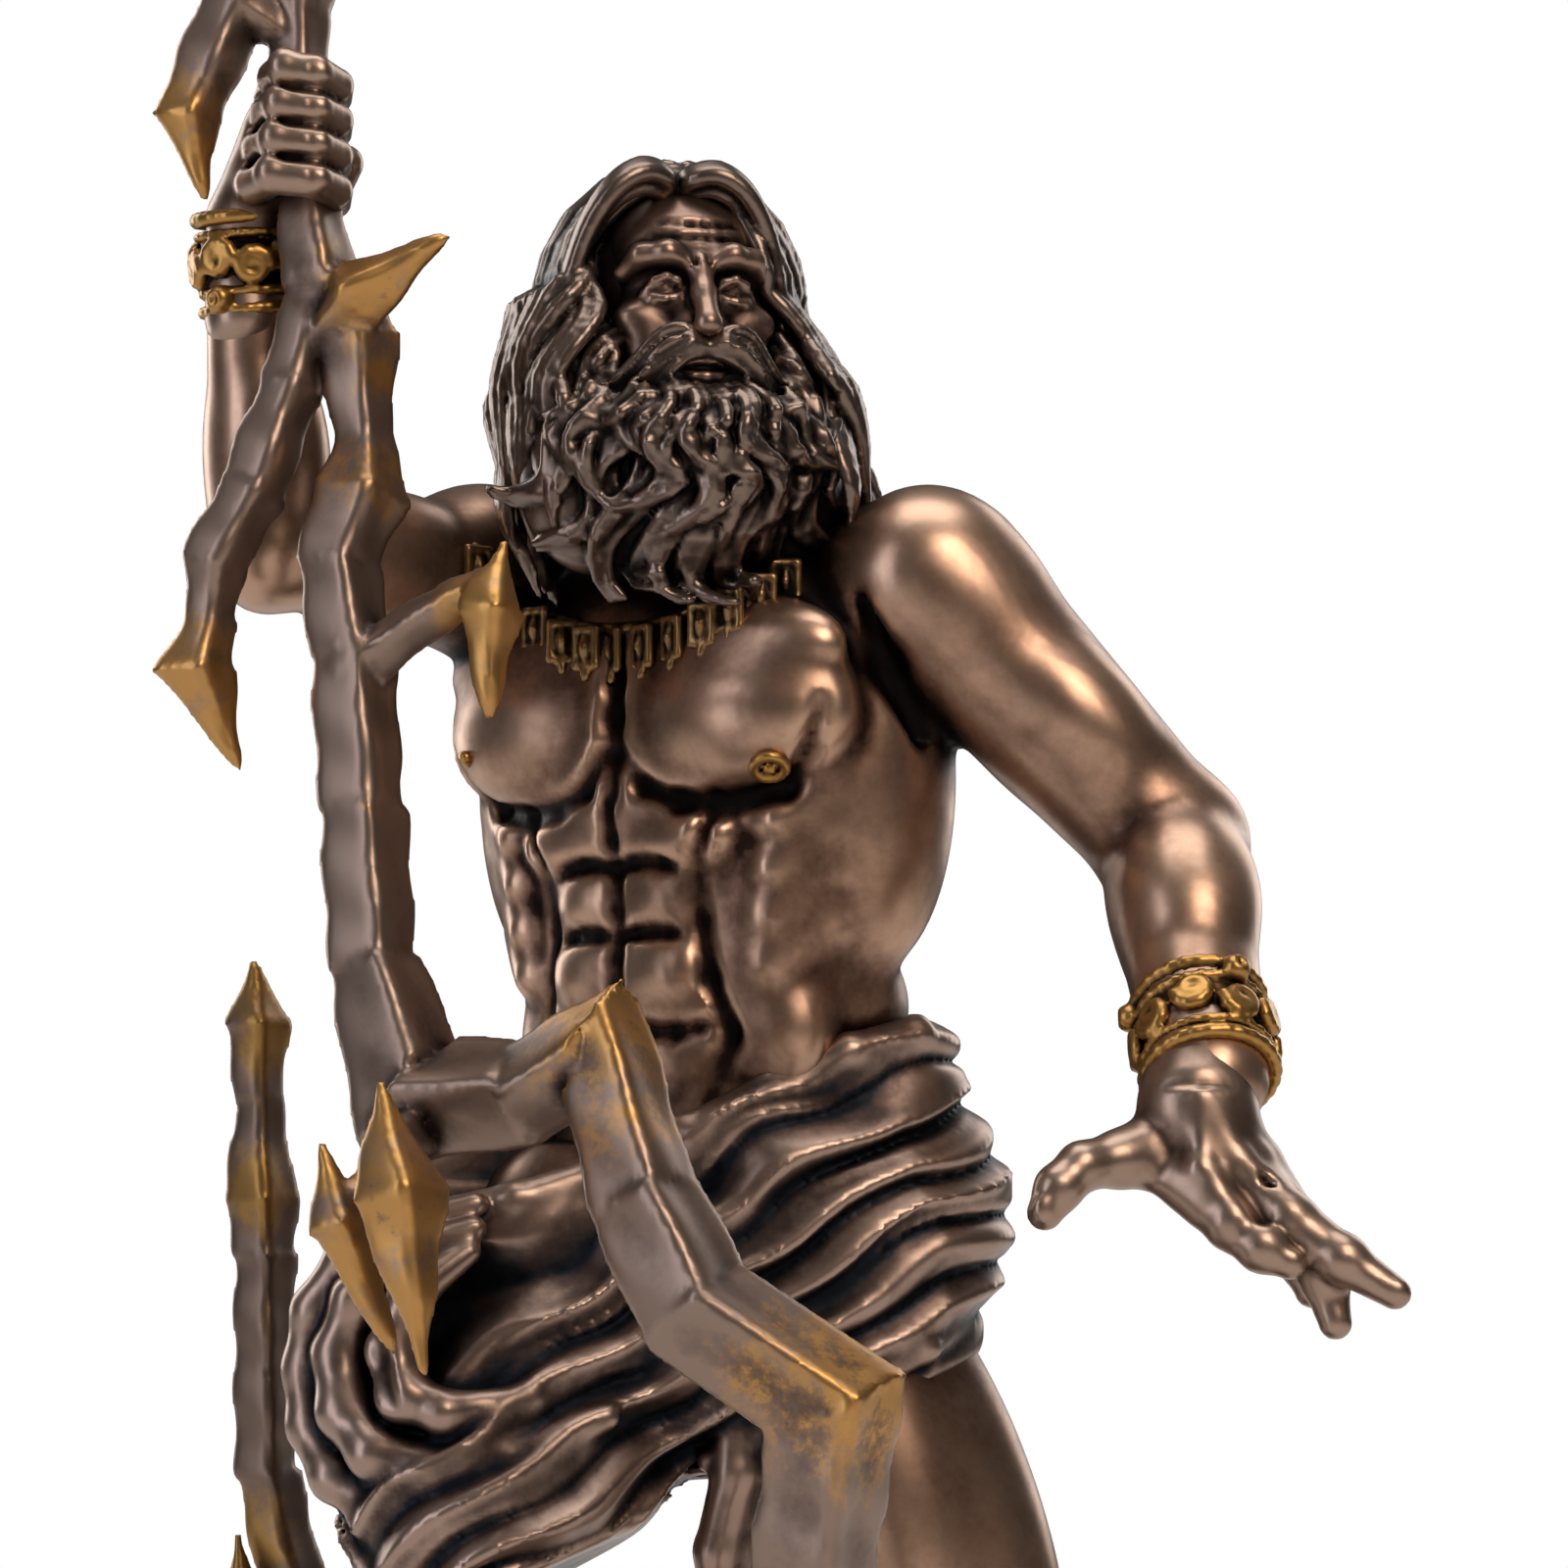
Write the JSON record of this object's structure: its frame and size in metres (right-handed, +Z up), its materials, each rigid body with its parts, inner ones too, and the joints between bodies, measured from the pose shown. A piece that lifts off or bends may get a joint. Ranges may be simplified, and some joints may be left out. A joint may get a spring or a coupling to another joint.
{
  "type": "zeus statue",
  "caption": "Bronze-finished figurine of a bearded Zeus with a draped waist, gripping a tall forked lightning bolt on a low rocky base.",
  "frame": {"origin": "centre of the base's flat underside", "axes": "+Z up, -Y the front that the chest and face look towards, +X the figure's left"},
  "size_m": [0.1367, 0.1088, 0.2965],
  "materials": {
    "bronze_patina": "antique bronze with dark hollows and polished heights",
    "golden_bolt": "brown bronze with dry-brushed gold on elbows and tips",
    "dark_rock": "dark bronze, a little rougher"
  },
  "bodies": {
    "root": {"zeus_figure": "bronze_patina", "lightning_bolt": "golden_bolt", "rear_bolt": "golden_bolt", "base": "dark_rock"}
  },
  "joints": []
}
